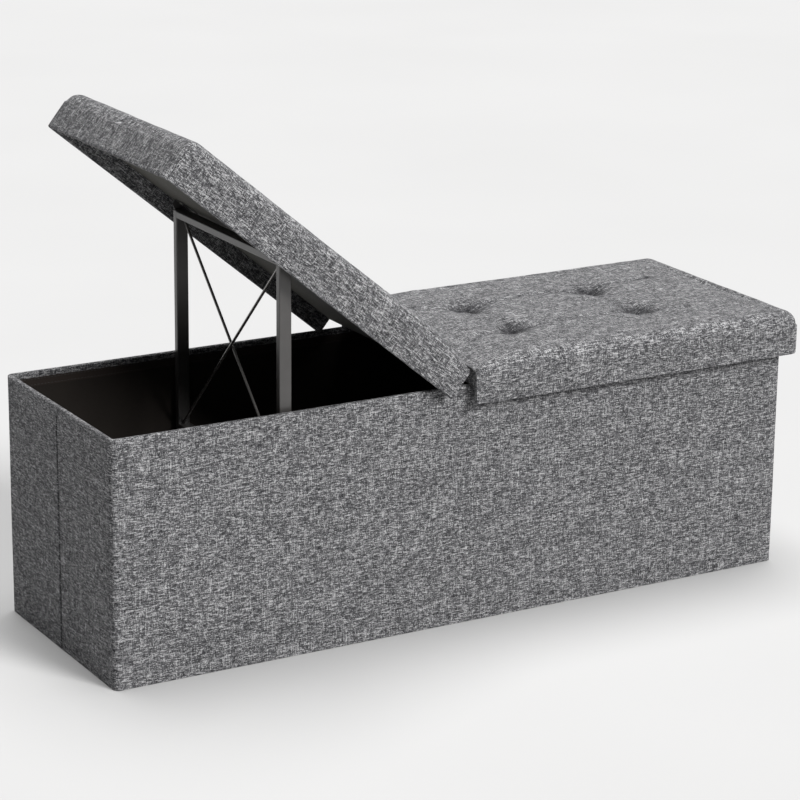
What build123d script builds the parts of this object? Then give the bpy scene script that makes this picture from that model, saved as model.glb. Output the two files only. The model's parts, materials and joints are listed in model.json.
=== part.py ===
"""Folding storage bench: a cloth-covered box with a loose, padded lid that folds across its middle.

Units are millimetres. +X runs along the bench, -Y is its front and +Z is up. The origin is on
the floor under the middle of the box. The left half of the lid is modelled open, the right half
closed. A steel support frame hangs under the left half and stands under the right half.
"""

import os

from build123d import *

# ---- driving dimensions -------------------------------------------------------------------
LENGTH = 1100.0            # over the lid, closed
DEPTH = 380.0              # over the lid, front to back
HEIGHT = 380.0             # floor to the crown of the closed lid
OVERHANG = 19.0            # lid past the box, on every side
RIM_HEIGHT = 344.5         # top edge of the box
LID_OPEN_ANGLE = 39.5      # degrees, left half of the lid

# cloth and boards
CLOTH = 1.2                # upholstery cloth, as wrapped
LINING = 1.2               # black non-woven lining of the box
WALL_BOARD = 4.6           # fibreboard walls of the box
BODY_CORNER = 8.0          # outer radius of the box's upright corners
RIM_TURN_DOWN = 8.0        # cloth turned down inside the rim
BINDING_HEIGHT = 11.0      # brown tape that edges the lining
CREASE_GAP = 1.0           # between the two boards of a folding end wall
BASE_THICKNESS = 5.0
FLOOR_THICKNESS = 8.2
FLOOR_LIFT = 0.2           # floor board over the base panel
FLOOR_CLEARANCE = 1.0      # floor board to the lining, all round
SMALLEST_RADIUS = 1.0      # of a plan's inner corners

# lid
RIM_GAP = 0.5              # rim to the lid's lining
LID_LINING = 1.0
SEAT_BOARD = 10.0
HEM_HEIGHT = 320.0         # lowest edge of the lid's skirt, closed
FOLD_HEIGHT = 371.0        # axis that both halves of the lid turn about
LID_CORNER = 10.0
SKIRT_BOARD = 4.0
INNER_CLOTH = 1.0          # cloth on the inner face of the skirt and under its hem
SKIRT_GAP = 4.0            # end of a skirt to the fold
PAD_GAP = 2.0              # edge of a pad to the fold
PAD_INSET = 0.6            # pad inside the skirt's outer face
PAD_RISE = 60.0            # the pad climbs from the fold to its crown over this length
PAD_EDGE = 12.0            # rounding of the pad's upper edges
PIPING_RADIUS = 1.0        # welt in the fold

# tufts in each half, measured from the fold
TUFT_OUT = (140.0, 350.0)
TUFT_SIDE = 62.0
TIE_RADIUS = 0.8
TIE_HOLE = 1.0
TIE_DISC = 7.0
TIE_DISC_THICKNESS = 1.2
TIE_TOP = -1.5             # the tie ends this far from the fold's axis, under the dimple

# support frames
PIN_OUT = 321.0            # pin to the fold, along the lid
PIN_DROP = 38.5            # pin below the fold's axis, square to the lid
FRAME_HALF_WIDTH = 158.0   # outer face of an upright
TUBE_WIDE = 18.0
TUBE_NARROW = 10.0
TUBE_WALL = 1.2
TUBE_ROUND = 1.5
TUBE_BORE_ROUND = 0.5
FRAME_CLEAR_HEIGHT = 298.0  # between the top and bottom bars
FOOT_HEIGHT = 5.5
FOOT_WIDE = 20.0
FOOT_NARROW = 12.0
FOOT_STEM = 9.0
STEM_CLEARANCE = 0.2       # foot stem to the tube's bore, all round
ROD_DIAMETER = 4.0
ROD_GAP = 0.2              # between the two rods where they cross

# frame brackets
PLATE = 1.5
PLATE_CLEARANCE = 0.6      # upright to bracket
BRACKET_WIDE = 30.0
BRACKET_FOOT = 20.0
BRACKET_ROUND = 7.0
PIN_RADIUS = 2.5
PIN_RUNNING = 0.1
PIN_REACH = 4.0            # into the upright
PIN_HEAD = 4.2
PIN_HEAD_THICKNESS = 1.3
SCREW_SPREAD = 10.5        # either side of the pin
SCREW_IN = 12.0            # screw axis from the bracket's upright plate
SCREW_RADIUS = 1.5
SCREW_HOLE = 1.6
SCREW_LENGTH = 9.0
SCREW_HEAD = 3.0
SCREW_HEAD_THICKNESS = 1.2

# ---- derived dimensions -------------------------------------------------------------------
BODY_LENGTH = LENGTH - 2 * OVERHANG
BODY_DEPTH = DEPTH - 2 * OVERHANG
WALL = CLOTH + WALL_BOARD + LINING
BOARD_TOP = RIM_HEIGHT - CLOTH
BAND_BOTTOM = BOARD_TOP - RIM_TURN_DOWN
BINDING_BOTTOM = BAND_BOTTOM - BINDING_HEIGHT
COVER_BOTTOM = 0.6         # the cloth stops just short of the floor
FLOOR_BOTTOM = BASE_THICKNESS + FLOOR_LIFT

# heights in a lid half's own frame, whose origin is on the fold's axis
HEM = HEM_HEIGHT - FOLD_HEIGHT
UNDERSIDE = RIM_HEIGHT + RIM_GAP - FOLD_HEIGHT
BOARD_UNDER = UNDERSIDE + LID_LINING
BOARD_OVER = BOARD_UNDER + SEAT_BOARD
CROWN = HEIGHT - FOLD_HEIGHT
HALF_LENGTH = LENGTH / 2
HALF_DEPTH = DEPTH / 2
SKIRT = CLOTH + SKIRT_BOARD + INNER_CLOTH


def closed_half(side):
    """A lid half's frame when it is closed: x away from the fold, z up."""
    return Plane(origin=(0, 0, FOLD_HEIGHT), x_dir=(side, 0, 0), z_dir=(0, 0, 1))


HALVES = {
    "left": closed_half(-1).rotated((0, LID_OPEN_ANGLE, 0)),
    "right": closed_half(1),
}


def span(low, high):
    """Middle and size of a stretch."""
    return (low + high) / 2, high - low


def block(plane, x, y, z, mode=Mode.ADD):
    """A box between (low, high) pairs in the plane's own x, y and z."""
    (mid_x, size_x), (mid_y, size_y) = span(*x), span(*y)
    with BuildSketch(plane.offset(z[0])) as outline:
        with Locations((mid_x, mid_y)):
            Rectangle(size_x, size_y)
    extrude(outline.sketch, amount=z[1] - z[0], mode=mode)


def body_prism(inset, z, mode=Mode.ADD):
    """The box's plan, drawn in from its outer face, between two heights."""
    with BuildSketch(Plane.XY.offset(z[0])) as outline:
        RectangleRounded(
            BODY_LENGTH - 2 * inset,
            BODY_DEPTH - 2 * inset,
            max(BODY_CORNER - inset, SMALLEST_RADIUS),
        )
    extrude(outline.sketch, amount=z[1] - z[0], mode=mode)


def lid_prism(plane, inset, start, z, mode=Mode.ADD):
    """A lid half's plan, drawn in from its outer face and cut off at start, between two heights."""
    far = HALF_LENGTH - inset
    half = HALF_DEPTH - inset
    radius = max(LID_CORNER - inset, SMALLEST_RADIUS)
    with BuildSketch(plane.offset(z[0])) as outline:
        with BuildLine():
            FilletPolyline(
                (start, -half), (far, -half), (far, half), (start, half), radius=radius
            )
            Line((start, half), (start, -half))
        make_face()
    extrude(outline.sketch, amount=z[1] - z[0], mode=mode)


def save(builder, label):
    """Name a finished piece and write it."""
    builder.part.label = label
    export_step(builder.part, f"parts/{label}.step")


# ---- the box ------------------------------------------------------------------------------
def make_base_panel():
    with BuildPart() as base_panel:
        body_prism(CLOTH, (0, BASE_THICKNESS))
    save(base_panel, "base_panel")


def make_wall_boards():
    """Front and rear boards, and two half-width boards in each folding end wall."""
    outer = BODY_DEPTH / 2 - CLOTH
    straight = BODY_LENGTH / 2 - BODY_CORNER
    heights = (BASE_THICKNESS, BOARD_TOP)
    for label, side in (("front_board", -1), ("rear_board", 1)):
        faces = sorted((side * outer, side * (outer - WALL_BOARD)))
        with BuildPart() as board:
            block(Plane.XY, (-straight, straight), faces, heights)
        save(board, label)
    outer = BODY_LENGTH / 2 - CLOTH
    straight = BODY_DEPTH / 2 - BODY_CORNER
    for end, x_side in (("left", -1), ("right", 1)):
        faces = sorted((x_side * outer, x_side * (outer - WALL_BOARD)))
        for place, y_side in (("front", -1), ("rear", 1)):
            edges = sorted((y_side * CREASE_GAP / 2, y_side * straight))
            with BuildPart() as board:
                block(Plane.XY, faces, edges, heights)
            save(board, f"{end}_end_board_{place}")


def make_body_cover():
    """One sleeve of cloth: up the outside, over the rim and a little way down the inside."""
    with BuildPart() as body_cover:
        body_prism(0, (COVER_BOTTOM, RIM_HEIGHT))
        body_prism(CLOTH, (COVER_BOTTOM, BOARD_TOP), Mode.SUBTRACT)
        body_prism(CLOTH + WALL_BOARD, (BAND_BOTTOM, BOARD_TOP))
        body_prism(WALL, (BAND_BOTTOM, RIM_HEIGHT), Mode.SUBTRACT)
    save(body_cover, "body_cover")


def make_lining_rings():
    """The black lining of the four walls, and the tape that edges it."""
    for label, heights in (
        ("body_lining", (BASE_THICKNESS, BINDING_BOTTOM)),
        ("lining_binding", (BINDING_BOTTOM, BAND_BOTTOM)),
    ):
        with BuildPart() as ring:
            body_prism(CLOTH + WALL_BOARD, heights)
            body_prism(WALL, heights, Mode.SUBTRACT)
        save(ring, label)


def make_floor_board():
    with BuildPart() as floor_board:
        body_prism(WALL + FLOOR_CLEARANCE, (FLOOR_BOTTOM, FLOOR_BOTTOM + FLOOR_THICKNESS))
    save(floor_board, "floor_board")


# ---- the lid ------------------------------------------------------------------------------
def make_fold_piping():
    """The welt that joins the two halves, on the axis they turn about."""
    with BuildPart() as fold_piping:
        with BuildSketch(Plane.XZ.offset(-HALF_DEPTH + CLOTH)):
            with Locations((0, FOLD_HEIGHT)):
                Circle(PIPING_RADIUS)
        extrude(amount=DEPTH - 2 * CLOTH)
    save(fold_piping, "fold_piping")


def tie_points():
    return [(out, side * TUFT_SIDE) for out in TUFT_OUT for side in (-1, 1)]


def screw_points():
    """Screw axes of both brackets, from the fold and from the middle of the half."""
    reach = FRAME_HALF_WIDTH + PLATE_CLEARANCE - SCREW_IN
    return [
        (PIN_OUT + step * SCREW_SPREAD, side * reach) for side in (-1, 1) for step in (-1, 1)
    ]


def rods_up(plane, points, radius, z, mode=Mode.ADD):
    """Round bars square to the plane, between two heights in its frame."""
    with BuildSketch(plane.offset(z[0])) as circles:
        with Locations(*points):
            Circle(radius)
    extrude(circles.sketch, amount=z[1] - z[0], mode=mode)


def make_seat_board(plane, name):
    width = HALF_DEPTH - CLOTH - SKIRT_BOARD
    end = HALF_LENGTH - CLOTH - SKIRT_BOARD
    with BuildPart() as seat_board:
        block(plane, (SKIRT_GAP, end), (-width, width), (BOARD_UNDER, BOARD_OVER))
        rods_up(plane, tie_points(), TIE_HOLE, (BOARD_UNDER, BOARD_OVER), Mode.SUBTRACT)
        recess = (BOARD_UNDER, BOARD_UNDER + TIE_DISC_THICKNESS)
        rods_up(plane, tie_points(), TIE_DISC, recess, Mode.SUBTRACT)
        pilot = (BOARD_UNDER, UNDERSIDE - PLATE + SCREW_LENGTH)
        rods_up(plane, screw_points(), SCREW_HOLE, pilot, Mode.SUBTRACT)
    save(seat_board, f"{name}_seat_board")


def make_skirt_boards(plane, name):
    """The three stiff strips that hang from the edges of a seat board."""
    heights = (HEM + INNER_CLOTH, BOARD_OVER)
    start = SKIRT_GAP + CLOTH
    outer = HALF_DEPTH - CLOTH
    for label, side in (("front", -1), ("rear", 1)):
        local_side = side if name == "right" else -side
        faces = sorted((local_side * outer, local_side * (outer - SKIRT_BOARD)))
        with BuildPart() as strip:
            block(plane, (start, HALF_LENGTH - LID_CORNER), faces, heights)
        save(strip, f"{name}_{label}_skirt_board")
    outer = HALF_LENGTH - CLOTH
    straight = HALF_DEPTH - LID_CORNER
    with BuildPart() as strip:
        block(plane, (outer - SKIRT_BOARD, outer), (-straight, straight), heights)
    save(strip, f"{name}_end_skirt_board")


def make_skirt_cover(plane, name):
    """Cloth down the outside of the skirt, under its hem and up its inner face."""
    inside = CLOTH + SKIRT_BOARD
    with BuildPart() as skirt_cover:
        lid_prism(plane, 0, SKIRT_GAP, (HEM, BOARD_OVER))
        lid_prism(plane, CLOTH, SKIRT_GAP + CLOTH, (HEM + INNER_CLOTH, BOARD_OVER), Mode.SUBTRACT)
        lid_prism(plane, inside, SKIRT_GAP, (HEM + INNER_CLOTH, BOARD_UNDER))
        lid_prism(plane, SKIRT, SKIRT_GAP, (HEM, BOARD_UNDER), Mode.SUBTRACT)
        lid_prism(plane, inside, SKIRT_GAP, (BOARD_UNDER, BOARD_OVER), Mode.SUBTRACT)
    save(skirt_cover, f"{name}_skirt_cover")


def make_lid_lining(plane, name):
    """The sheet under a seat board."""
    with BuildPart() as lid_lining:
        lid_prism(plane, SKIRT, SKIRT_GAP, (UNDERSIDE, BOARD_UNDER))
        rods_up(plane, screw_points(), SCREW_HOLE, (UNDERSIDE, BOARD_UNDER), Mode.SUBTRACT)
    save(lid_lining, f"{name}_lid_lining")


def make_seat_pad(plane, name):
    """Foam and its cloth top: low at the fold, level over the rest, rounded at the outer edges."""
    far = HALF_LENGTH - PAD_INSET
    half = HALF_DEPTH - PAD_INSET
    side_plane = Plane(
        origin=plane.origin + plane.y_dir * half, x_dir=plane.x_dir, z_dir=plane.y_dir * -1
    )
    up = 1 if side_plane.y_dir.dot(plane.z_dir) > 0 else -1
    with BuildPart() as seat_pad:
        with BuildSketch(side_plane):
            with BuildLine():
                Polyline(
                    (PAD_GAP, up * BOARD_OVER),
                    (PAD_GAP, 0),
                    (PAD_RISE, up * CROWN),
                    (far, up * CROWN),
                    (far, up * BOARD_OVER),
                    close=True,
                )
            make_face()
        extrude(amount=2 * half)
        crown = max(seat_pad.faces(), key=lambda face: plane.to_local_coords(face.center()).Z)
        fillet(crown.edges().filter_by(Axis.Y, reverse=True), PAD_EDGE)
        rods_up(plane, tie_points(), TIE_HOLE, (BOARD_OVER, CROWN), Mode.SUBTRACT)
    save(seat_pad, f"{name}_seat_pad")


def make_tuft_ties(plane, name):
    """Threads that hold the tufts down, each with a disc let into the board's underside."""
    with BuildPart() as tuft_ties:
        rods_up(plane, tie_points(), TIE_RADIUS, (BOARD_UNDER, TIE_TOP))
        disc = (BOARD_UNDER, BOARD_UNDER + TIE_DISC_THICKNESS)
        rods_up(plane, tie_points(), TIE_DISC, disc)
    save(tuft_ties, f"{name}_tuft_ties")


# ---- brackets and support frames ------------------------------------------------------------
def make_brackets(plane, name):
    """Two angle brackets: a foot screwed under the seat board and a plate that holds the pin."""
    inner = FRAME_HALF_WIDTH + PLATE_CLEARANCE
    x_span = (PIN_OUT - BRACKET_WIDE / 2, PIN_OUT + BRACKET_WIDE / 2)
    foot_bottom = UNDERSIDE - PLATE
    with BuildPart() as brackets:
        for side in (-1, 1):
            foot = sorted((side * (inner + PLATE), side * (inner - BRACKET_FOOT)))
            block(plane, x_span, foot, (foot_bottom, UNDERSIDE))
            with BuildSketch(pin_plane(plane, side, inner)):
                with Locations((0, PIN_DROP + foot_bottom - BRACKET_ROUND / 2)):
                    Rectangle(BRACKET_WIDE, BRACKET_ROUND)
                with BuildLine():
                    top = PIN_DROP + foot_bottom - BRACKET_ROUND
                    Polyline(
                        (-BRACKET_WIDE / 2, top),
                        (-BRACKET_ROUND, 0),
                        (BRACKET_ROUND, 0),
                        (BRACKET_WIDE / 2, top),
                        close=True,
                    )
                make_face()
                Circle(BRACKET_ROUND)
                Circle(PIN_RADIUS, mode=Mode.SUBTRACT)
            extrude(amount=PLATE)
        rods_up(plane, screw_points(), SCREW_HOLE, (foot_bottom, UNDERSIDE), Mode.SUBTRACT)
    save(brackets, f"{name}_frame_brackets")


def pin_plane(plane, side, reach):
    """A plane square to the pin's axis, reach out from the middle, whose y is the lid's up."""
    outward = plane.y_dir * side
    origin = plane.from_local_coords((PIN_OUT, side * reach, -PIN_DROP))
    return Plane(origin=origin, x_dir=plane.z_dir.cross(outward), z_dir=outward)


def make_pins(plane, name):
    """Headed pins through the brackets into the uprights."""
    inner = FRAME_HALF_WIDTH - PIN_REACH
    shank = PIN_REACH + PLATE_CLEARANCE + PLATE
    with BuildPart() as pins:
        for side in (-1, 1):
            with BuildSketch(pin_plane(plane, side, inner)):
                Circle(PIN_RADIUS)
            extrude(amount=shank)
            with BuildSketch(pin_plane(plane, side, inner + shank)):
                Circle(PIN_HEAD)
            extrude(amount=PIN_HEAD_THICKNESS)
    save(pins, f"{name}_frame_pins")


def make_screws(plane, name):
    foot_bottom = UNDERSIDE - PLATE
    with BuildPart() as screws:
        rods_up(plane, screw_points(), SCREW_RADIUS, (foot_bottom, foot_bottom + SCREW_LENGTH))
        head = (foot_bottom - SCREW_HEAD_THICKNESS, foot_bottom)
        rods_up(plane, screw_points(), SCREW_HEAD, head)
    save(screws, f"{name}_bracket_screws")


def tube(plane, wide, narrow, length):
    """A rectangular tube with rounded corners, along the plane's normal."""
    with BuildSketch(plane) as section:
        RectangleRounded(wide, narrow, TUBE_ROUND)
        RectangleRounded(
            wide - 2 * TUBE_WALL, narrow - 2 * TUBE_WALL, TUBE_BORE_ROUND, mode=Mode.SUBTRACT
        )
    extrude(section.sketch, amount=length)


def make_frame(plane, name):
    """A welded frame that hangs plumb from its two pins: bars, uprights, crossed rods and feet."""
    pin = plane.from_local_coords((PIN_OUT, 0, -PIN_DROP))
    upright_y = FRAME_HALF_WIDTH - TUBE_NARROW / 2
    inner_y = FRAME_HALF_WIDTH - TUBE_NARROW
    top = pin.Z + TUBE_NARROW / 2
    clear_top = pin.Z - TUBE_NARROW / 2
    clear_bottom = clear_top - FRAME_CLEAR_HEIGHT
    bottom = clear_bottom - TUBE_NARROW

    for place, side in (("front", -1), ("rear", 1)):
        with BuildPart() as upright:
            tube(
                Plane(origin=(pin.X, side * upright_y, bottom), z_dir=(0, 0, 1)),
                TUBE_WIDE,
                TUBE_NARROW,
                top - bottom,
            )
            cap = (top - TUBE_WALL, top)
            half_wide, half_narrow = TUBE_WIDE / 2 - TUBE_WALL, TUBE_NARROW / 2 - TUBE_WALL
            block(
                Plane.XY,
                (pin.X - half_wide, pin.X + half_wide),
                (side * upright_y - half_narrow, side * upright_y + half_narrow),
                cap,
            )
            hole = Plane(origin=(pin.X, side * upright_y, pin.Z), z_dir=(0, side, 0))
            with BuildSketch(hole):
                Circle(PIN_RADIUS + PIN_RUNNING)
            extrude(amount=TUBE_NARROW, mode=Mode.SUBTRACT)
        save(upright, f"{name}_frame_{place}_upright")

    for place, mid in (("top", pin.Z), ("bottom", clear_bottom - TUBE_NARROW / 2)):
        with BuildPart() as bar:
            tube(
                Plane(origin=(pin.X, -inner_y, mid), x_dir=(1, 0, 0), z_dir=(0, 1, 0)),
                TUBE_WIDE,
                TUBE_NARROW,
                2 * inner_y,
            )
        save(bar, f"{name}_frame_{place}_bar")

    middle = (clear_top + clear_bottom) / 2
    for letter, side in (("a", -1), ("b", 1)):
        offset = side * (ROD_DIAMETER + ROD_GAP) / 2
        direction = Vector(0, side * 2 * inner_y, FRAME_CLEAR_HEIGHT)
        axis = Plane(origin=(pin.X + offset, 0, middle), x_dir=(1, 0, 0), z_dir=direction)
        with BuildPart() as rod:
            with BuildSketch(axis):
                Circle(ROD_DIAMETER / 2)
            extrude(amount=direction.length / 2 + ROD_DIAMETER, both=True)
            block(
                Plane.XY,
                (pin.X - TUBE_WIDE / 2, pin.X + TUBE_WIDE / 2),
                (-inner_y, inner_y),
                (clear_bottom, clear_top),
                Mode.INTERSECT,
            )
        save(rod, f"{name}_frame_rod_{letter}")

    stem_wide = TUBE_WIDE - 2 * (TUBE_WALL + STEM_CLEARANCE)
    stem_narrow = TUBE_NARROW - 2 * (TUBE_WALL + STEM_CLEARANCE)
    with BuildPart() as feet:
        for side in (-1, 1):
            for height, length, wide, narrow in (
                (bottom - FOOT_HEIGHT, FOOT_HEIGHT, FOOT_WIDE, FOOT_NARROW),
                (bottom, FOOT_STEM, stem_wide, stem_narrow),
            ):
                with BuildSketch(Plane.XY.offset(height)):
                    with Locations((pin.X, side * upright_y)):
                        RectangleRounded(wide, narrow, TUBE_ROUND)
                extrude(amount=length)
    save(feet, f"{name}_frame_feet")


def main():
    os.makedirs("parts", exist_ok=True)
    make_base_panel()
    make_wall_boards()
    make_body_cover()
    make_lining_rings()
    make_floor_board()
    make_fold_piping()
    for name, plane in HALVES.items():
        for make in (
            make_seat_board,
            make_skirt_boards,
            make_skirt_cover,
            make_lid_lining,
            make_seat_pad,
            make_tuft_ties,
            make_brackets,
            make_pins,
            make_screws,
            make_frame,
        ):
            make(plane, name)


main()
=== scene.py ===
"""The finished look of a folding storage bench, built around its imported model.

Everything is in metres, in the model's own frame: +X runs along the bench, -Y is its front and
+Z is up. The lid is two padded halves that turn about one fold; the left half stands open.
"""

import json
import logging
import math
from dataclasses import dataclass, field
from enum import Enum
from typing import Callable, Sequence

import bmesh
import bpy
import numpy as np
from mathutils import Matrix, Vector, noise


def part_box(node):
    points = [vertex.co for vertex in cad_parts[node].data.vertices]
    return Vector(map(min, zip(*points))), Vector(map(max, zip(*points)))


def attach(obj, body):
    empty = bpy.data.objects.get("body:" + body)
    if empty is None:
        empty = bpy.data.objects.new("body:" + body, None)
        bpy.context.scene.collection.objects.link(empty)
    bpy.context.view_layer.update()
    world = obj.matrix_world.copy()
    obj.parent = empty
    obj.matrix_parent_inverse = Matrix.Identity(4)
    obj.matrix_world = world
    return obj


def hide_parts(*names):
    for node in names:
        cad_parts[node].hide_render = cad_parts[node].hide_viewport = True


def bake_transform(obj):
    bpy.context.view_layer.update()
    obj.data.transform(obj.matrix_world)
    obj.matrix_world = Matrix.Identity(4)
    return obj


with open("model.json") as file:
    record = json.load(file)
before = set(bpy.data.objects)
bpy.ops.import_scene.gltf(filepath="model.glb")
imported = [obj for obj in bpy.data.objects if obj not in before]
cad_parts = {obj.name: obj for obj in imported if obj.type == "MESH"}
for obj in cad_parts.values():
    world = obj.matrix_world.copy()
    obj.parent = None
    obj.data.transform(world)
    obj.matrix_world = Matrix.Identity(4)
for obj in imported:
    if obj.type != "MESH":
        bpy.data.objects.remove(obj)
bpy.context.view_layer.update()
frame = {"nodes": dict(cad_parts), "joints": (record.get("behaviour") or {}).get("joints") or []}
LOG = logging.getLogger("storage_bench")

MM = 0.001
WEAVE_MAP = "weave"
# Name of the point value that paints shade into the cloth's colour, in creases and round the tufts.
PAINTED_SHADE = "painted_shade"


# ---- shaping by hand ----------------------------------------------------------------------
class Element(Enum):
    """What is picked in edit mode."""

    POINT = "VERT"
    EDGE = "EDGE"
    FACE = "FACE"


class Cut(Enum):
    """What a cutting plane leaves."""

    BOTH = "both"
    ABOVE = "above"


class Bench:
    """The work surface: edit mode on one piece, with its elements picked by place or normal."""

    def __init__(self, piece: bpy.types.Object) -> None:
        """Takes the piece to be shaped."""
        self.piece = piece

    def __enter__(self) -> "Bench":
        """Opens edit mode on the piece alone."""
        activate(self.piece)
        bpy.ops.object.mode_set(mode="EDIT")
        return self

    def __exit__(self, *unused: object) -> None:
        """Closes edit mode."""
        bpy.ops.object.mode_set(mode="OBJECT")

    def pick(self, kind: Element, test: Callable[[object], bool]) -> None:
        """Selects the elements that pass a test, and nothing else.

        Args:
            kind: points, edges or faces.
            test: says whether one element is wanted.
        """
        bpy.ops.mesh.select_mode(type=kind.value)
        bpy.ops.mesh.select_all(action="DESELECT")
        mesh = bmesh.from_edit_mesh(self.piece.data)
        mesh.normal_update()
        pools = {Element.POINT: mesh.verts, Element.EDGE: mesh.edges, Element.FACE: mesh.faces}
        for item in [item for item in pools[kind] if test(item)]:
            item.select_set(True)
        mesh.select_flush_mode()
        bmesh.update_edit_mesh(self.piece.data)

    def move_picked(self, place: Callable[[Vector], Vector]) -> None:
        """Moves the selected points to where a rule puts them."""
        mesh = bmesh.from_edit_mesh(self.piece.data)
        for point in mesh.verts:
            if point.select:
                point.co = place(point.co)
        bmesh.update_edit_mesh(self.piece.data)

    def extrude(self, shift: Sequence[float] = (0.0, 0.0, 0.0)) -> None:
        """Extrudes what is selected, and leaves the new end of it selected."""
        bpy.ops.mesh.extrude_region_move(TRANSFORM_OT_translate={"value": tuple(shift)})

    def cut(self, point: Sequence[float], normal: Sequence[float], keep: Cut = Cut.BOTH) -> None:
        """Cuts the whole piece with a plane."""
        bpy.ops.mesh.select_all(action="SELECT")
        bpy.ops.mesh.bisect(
            plane_co=tuple(point),
            plane_no=tuple(normal),
            clear_inner=keep is Cut.ABOVE,
        )

    def grid(self, axis: int, places: Sequence[float]) -> None:
        """Adds one line of edges square to an axis at each place."""
        normal = [0.0, 0.0, 0.0]
        normal[axis] = 1.0
        for place in places:
            self.cut([place * part for part in normal], normal)

    def bevel(self, width: float, steps: int) -> None:
        """Rounds the selected edges."""
        bpy.ops.mesh.bevel(offset=width, segments=steps, affect="EDGES", clamp_overlap=True)

    def recalculate(self) -> None:
        """Merges doubles and points every face outwards."""
        bpy.ops.mesh.select_all(action="SELECT")
        bpy.ops.mesh.remove_doubles(threshold=0.00001)
        bpy.ops.mesh.normals_make_consistent(inside=False)


def span(edge: bmesh.types.BMEdge, axis: int) -> float:
    """How far an edge reaches along an axis."""
    return abs(edge.verts[0].co[axis] - edge.verts[1].co[axis])


def beyond(edge: bmesh.types.BMEdge, axis: int, limit: float) -> bool:
    """Whether the whole edge is past a limit along an axis."""
    return all(point.co[axis] > limit for point in edge.verts)


def activate(piece: bpy.types.Object) -> None:
    """Selects one piece alone and makes it active."""
    bpy.ops.object.select_all(action="DESELECT")
    piece.select_set(True)
    bpy.context.view_layer.objects.active = piece


def block(name: str, low: Sequence[float], high: Sequence[float]) -> bpy.types.Object:
    """Adds a cube between two corners, to be shaped further.

    Args:
        name: the piece's name.
        low: the lowest corner.
        high: the highest corner.

    Returns:
        The new object, at the origin and unscaled.
    """
    low, high = Vector(low), Vector(high)
    bpy.ops.object.select_all(action="DESELECT")
    bpy.ops.mesh.primitive_cube_add(size=1.0, location=(low + high) / 2)
    piece = bpy.context.object
    piece.scale = high - low
    bpy.ops.object.transform_apply(location=True, rotation=True, scale=True)
    piece.name = name
    piece.data.name = name
    return piece


def apply_modifier(piece: bpy.types.Object, kind: str, **settings: object) -> None:
    """Adds a modifier with its settings and applies it."""
    activate(piece)
    modifier = piece.modifiers.new(kind.title(), kind)
    for key, value in settings.items():
        setattr(modifier, key, value)
    bpy.ops.object.modifier_apply(modifier=modifier.name)


def thicken(piece: bpy.types.Object, thickness: float, offset: float) -> None:
    """Gives a surface its thickness, inwards at offset -1 and outwards at +1."""
    apply_modifier(
        piece, "SOLIDIFY", thickness=thickness, offset=offset, use_even_offset=True
    )


def smooth(piece: bpy.types.Object, angle: float) -> None:
    """Shades a piece smooth across every edge flatter than an angle in degrees."""
    activate(piece)
    bpy.ops.object.shade_smooth_by_angle(angle=math.radians(angle))


def points_of(piece: bpy.types.Object, what: str = "co") -> np.ndarray:
    """The piece's points, or with "normal" the outward normal at each, one row each."""
    rows = np.zeros(len(piece.data.vertices) * 3, np.float32)
    piece.data.vertices.foreach_get(what, rows)
    return rows.reshape(-1, 3).astype(float)


def set_points(piece: bpy.types.Object, places: np.ndarray) -> None:
    """Puts the piece's points where the rows say."""
    piece.data.vertices.foreach_set("co", places.astype(np.float32).ravel())
    piece.data.update()


def ramp_up(values: np.ndarray, low: float, high: float) -> np.ndarray:
    """0 before low, 1 after high, and smooth between them."""
    share = np.clip((values - low) / (high - low), 0.0, 1.0)
    return share * share * (3.0 - 2.0 * share)


def bell(values: np.ndarray, width: float) -> np.ndarray:
    """1 at zero, falling away smoothly to both sides within about a width."""
    return np.exp(-((values / width) ** 2))


def cloud(places: np.ndarray, size: float, seed: float) -> np.ndarray:
    """Smooth random values from about -1 to 1, one for each point.

    Args:
        places: the points.
        size: how far apart unlike values are, in metres.
        seed: shifts the pattern.

    Returns:
        One value for each point.
    """
    shift = Vector((seed, 2.3 * seed, -seed))
    return np.array([noise.noise(Vector(place) / size + shift) for place in places])


class Wrap(Enum):
    """Which way the weft runs on the ends of a covered piece."""

    AROUND = "around"
    OVER = "over"


def lay_weave(piece: bpy.types.Object, wrap: Wrap) -> None:
    """Lays the cloth on a piece: a UV map in metres, square to each side, with the weft along u.

    Args:
        piece: the covered piece, in a frame whose axes the cloth follows.
        wrap: whether the cloth of the ends comes round the sides or over the top.
    """
    mesh = piece.data
    count = len(mesh.loops)
    corner_point = np.zeros(count, np.int32)
    mesh.loops.foreach_get("vertex_index", corner_point)
    sizes = np.zeros(len(mesh.polygons), np.int32)
    mesh.polygons.foreach_get("loop_total", sizes)
    face_normals = np.zeros(len(mesh.polygons) * 3, np.float32)
    mesh.polygons.foreach_get("normal", face_normals)
    facing = np.abs(face_normals.reshape(-1, 3)).argmax(axis=1)
    facing = np.repeat(facing, sizes)
    places = points_of(piece)[corner_point]
    weft = places[:, 0].copy()
    warp = np.where(facing == 1, places[:, 2], places[:, 1])
    ends = facing == 0
    weft_axis, warp_axis = (1, 2) if wrap is Wrap.AROUND else (2, 1)
    weft[ends] = places[ends, weft_axis] + np.sign(places[ends, 0]) * 3.0
    warp[ends] = places[ends, warp_axis]
    layer = mesh.uv_layers.get(WEAVE_MAP) or mesh.uv_layers.new(name=WEAVE_MAP)
    layer.data.foreach_set("uv", np.stack([weft, warp], axis=1).astype(np.float32).ravel())
    mesh.uv_layers.active = layer


def lay_painted_shade(piece: bpy.types.Object, values: np.ndarray) -> None:
    """Lays on each point how much shade is painted into the cloth's colour there, where the cloth
    is drawn in, from 0 to 1.
    """
    layer = piece.data.attributes.new(PAINTED_SHADE, "FLOAT", "POINT")
    layer.data.foreach_set("value", np.clip(values, 0.0, 1.0).astype(np.float32))


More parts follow.
